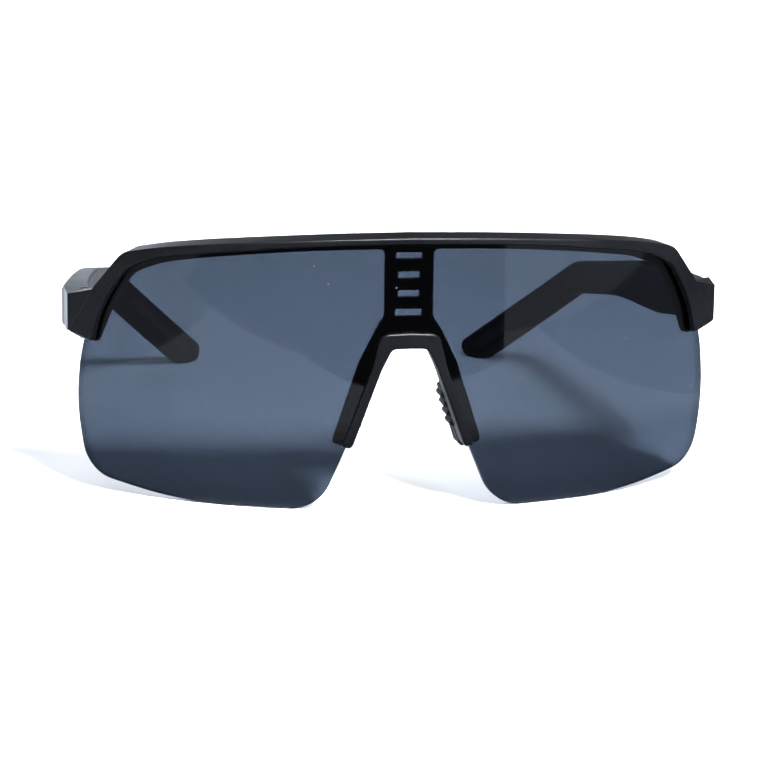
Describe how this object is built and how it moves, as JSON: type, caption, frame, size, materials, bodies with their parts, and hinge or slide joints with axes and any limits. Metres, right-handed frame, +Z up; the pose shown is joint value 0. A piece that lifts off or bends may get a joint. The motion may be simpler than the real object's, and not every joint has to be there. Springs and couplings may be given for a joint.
{
  "type": "wraparound sport sunglasses",
  "caption": "Half-rim sport sunglasses with one curved smoked shield lens, a vented centre spine, a clip-on nose bridge with ribbed pads and folding temples.",
  "frame": {"origin": "middle of the footprint on the table, under the open sunglasses", "axes": "+Z up, +Y from the lens back to the temple tips, +X to the right of someone who faces the lens"},
  "size_m": [0.1516, 0.1566, 0.0631],
  "materials": {
    "satin_black": "satin moulded nylon",
    "smoke_lens": "clear gloss, smoke blue-grey tint",
    "soft_rubber": "matt soft rubber",
    "hinge_steel": "dark satin"
  },
  "bodies": {
    "front": {"brow_frame": "satin_black", "shield_lens": "smoke_lens", "nose_bridge": "satin_black", "nose_pad_left": "soft_rubber", "nose_pad_right": "soft_rubber", "hinge_frame_leaf_left": "hinge_steel", "hinge_frame_leaf_right": "hinge_steel", "hinge_screw_left": "hinge_steel", "hinge_screw_right": "hinge_steel", "frame_leaf_screw_left": "hinge_steel", "frame_leaf_screw_right": "hinge_steel"},
    "right_temple": {"temple_right": "satin_black", "temple_grip_right": "soft_rubber", "hinge_temple_leaf_right": "hinge_steel", "temple_leaf_screw_front_right": "hinge_steel", "temple_leaf_screw_rear_right": "hinge_steel"},
    "left_temple": {"temple_left": "satin_black", "temple_grip_left": "soft_rubber", "hinge_temple_leaf_left": "hinge_steel", "temple_leaf_screw_front_left": "hinge_steel", "temple_leaf_screw_rear_left": "hinge_steel"}
  },
  "joints": [
    {"name": "right_temple_fold", "type": "hinge", "parent": "front", "child": "right_temple", "pos_m": [0.0704, -0.04214, 0.0406], "axis": [0, 0, 1], "range_deg": [0, 70]},
    {"name": "left_temple_fold", "type": "hinge", "parent": "front", "child": "left_temple", "pos_m": [-0.0704, -0.04214, 0.0406], "axis": [0, 0, -1], "range_deg": [0, 79]}
  ]
}
